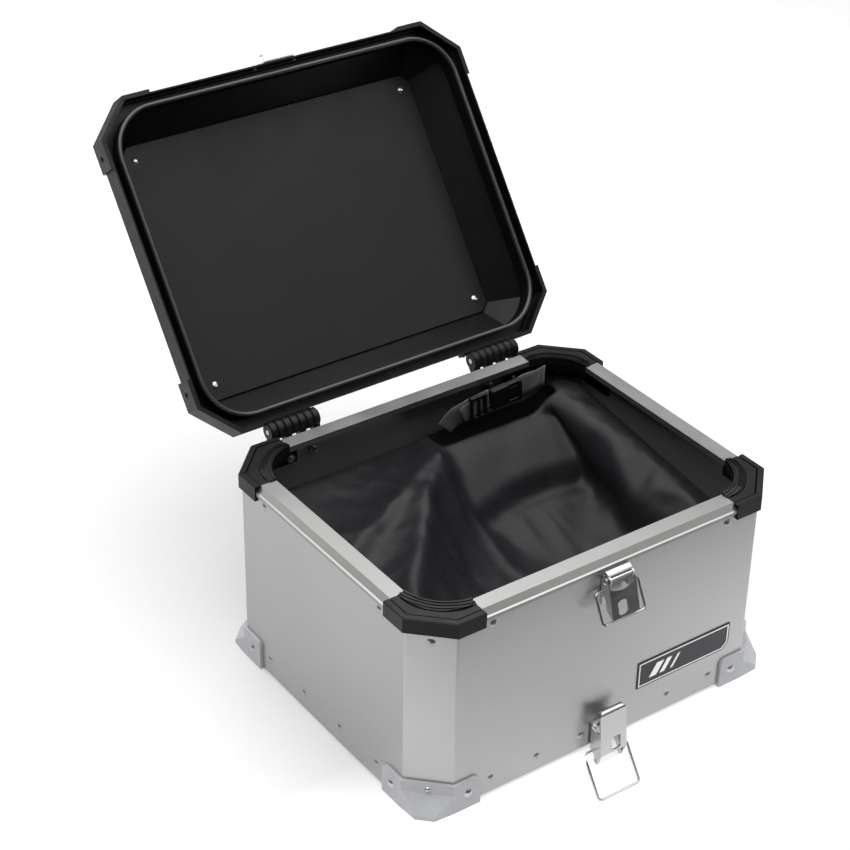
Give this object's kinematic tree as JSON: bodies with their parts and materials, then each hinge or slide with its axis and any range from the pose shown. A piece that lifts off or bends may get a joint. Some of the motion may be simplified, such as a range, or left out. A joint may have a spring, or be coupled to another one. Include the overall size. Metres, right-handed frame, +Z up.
{
  "type": "motorcycle top case",
  "caption": "Aluminium motorcycle top case with an open hinged lid, plastic corner pieces, draw latches and an inner bag",
  "frame": {"origin": "centre of the underside of the floor plate, where the case sits on its carrier", "axes": "+X to the right of a person who faces the latches, +Y to the back with the hinges, +Z up"},
  "size_m": [0.4226, 0.6092, 0.5406],
  "materials": {
    "body_aluminium": "brushed sheet",
    "rim_aluminium": "satin anodised",
    "stainless": "satin",
    "black_plastic": "fine texture",
    "grey_plastic": "fine texture",
    "black_coating": "powder coat",
    "panel_coating": "satin",
    "badge_dark": "satin",
    "badge_light": "satin",
    "seal_rubber": "smooth",
    "bag_fabric": "coated cloth",
    "webbing": "woven"
  },
  "bodies": {
    "lid": {"hinge_lid_leaf_left": "black_coating", "hinge_lid_leaf_right": "black_coating", "hinge_lid_rivets": "black_coating", "lid_corner_back_left": "black_plastic", "lid_corner_back_right": "black_plastic", "lid_corner_front_left": "black_plastic", "lid_corner_front_right": "black_plastic", "lid_corner_rivets": "black_coating", "lid_frame": "black_coating", "lid_hook": "stainless", "lid_hook_rivets": "stainless", "lid_inner_panel": "panel_coating", "lid_panel_screws": "stainless", "lid_seal": "seal_rubber", "lid_shell": "black_coating"},
    "lid_lever": {"lid_latch_lever": "stainless"},
    "lid_bail": {"lid_latch_bail": "stainless"},
    "rack_lever": {"rack_latch_lever": "stainless"},
    "rack_bail": {"rack_latch_bail": "stainless"},
    "case": {"badge_plate": "badge_dark", "badge_trim": "badge_light", "bag_buckle": "black_plastic", "bag_strap": "webbing", "body_shell": "body_aluminium", "cap_rivets": "body_aluminium", "corner_cap_back_left": "black_plastic", "corner_cap_back_right": "black_plastic", "corner_cap_front_left": "black_plastic", "corner_cap_front_right": "black_plastic", "corner_guard_back_left": "grey_plastic", "corner_guard_back_right": "grey_plastic", "corner_guard_fasteners": "stainless", "corner_guard_front_left": "grey_plastic", "corner_guard_front_right": "grey_plastic", "floor_plate": "body_aluminium", "floor_rivets": "body_aluminium", "hinge_body_leaf_left": "black_coating", "hinge_body_leaf_right": "black_coating", "hinge_bolts": "stainless", "hinge_nuts": "stainless", "hinge_pin_left": "stainless", "hinge_pin_right": "stainless", "inner_bag": "bag_fabric", "latch_rivets": "stainless", "lid_latch_base": "stainless", "lid_latch_pins": "stainless", "rack_latch_base": "stainless", "rack_latch_pins": "stainless", "rim_back": "rim_aluminium", "rim_front": "rim_aluminium", "rim_left": "rim_aluminium", "rim_right": "rim_aluminium"}
  },
  "joints": [
    {"name": "lid_hinge", "type": "hinge", "parent": "case", "child": "lid", "pos_m": [0, 0.1778, 0.21], "axis": [-1, 0, 0], "range_deg": [-127, 0]},
    {"name": "lid_lever_pivot", "type": "hinge", "parent": "case", "child": "lid_lever", "pos_m": [0, -0.171, 0.1893], "axis": [-1, 0, 0], "range_deg": [0, 115]},
    {"name": "lid_bail_pivot", "type": "hinge", "parent": "lid_lever", "child": "lid_bail", "pos_m": [0, -0.1697, 0.179], "axis": [1, 0, 0], "range_deg": [-147.2, 25]},
    {"name": "rack_lever_pivot", "type": "hinge", "parent": "case", "child": "rack_lever", "pos_m": [0, -0.175, -0.014], "axis": [1, 0, 0], "range_deg": [0, 110]},
    {"name": "rack_bail_pivot", "type": "hinge", "parent": "rack_lever", "child": "rack_bail", "pos_m": [0, -0.17, -0.006], "axis": [-1, 0, 0], "range_deg": [-40, 35]}
  ]
}
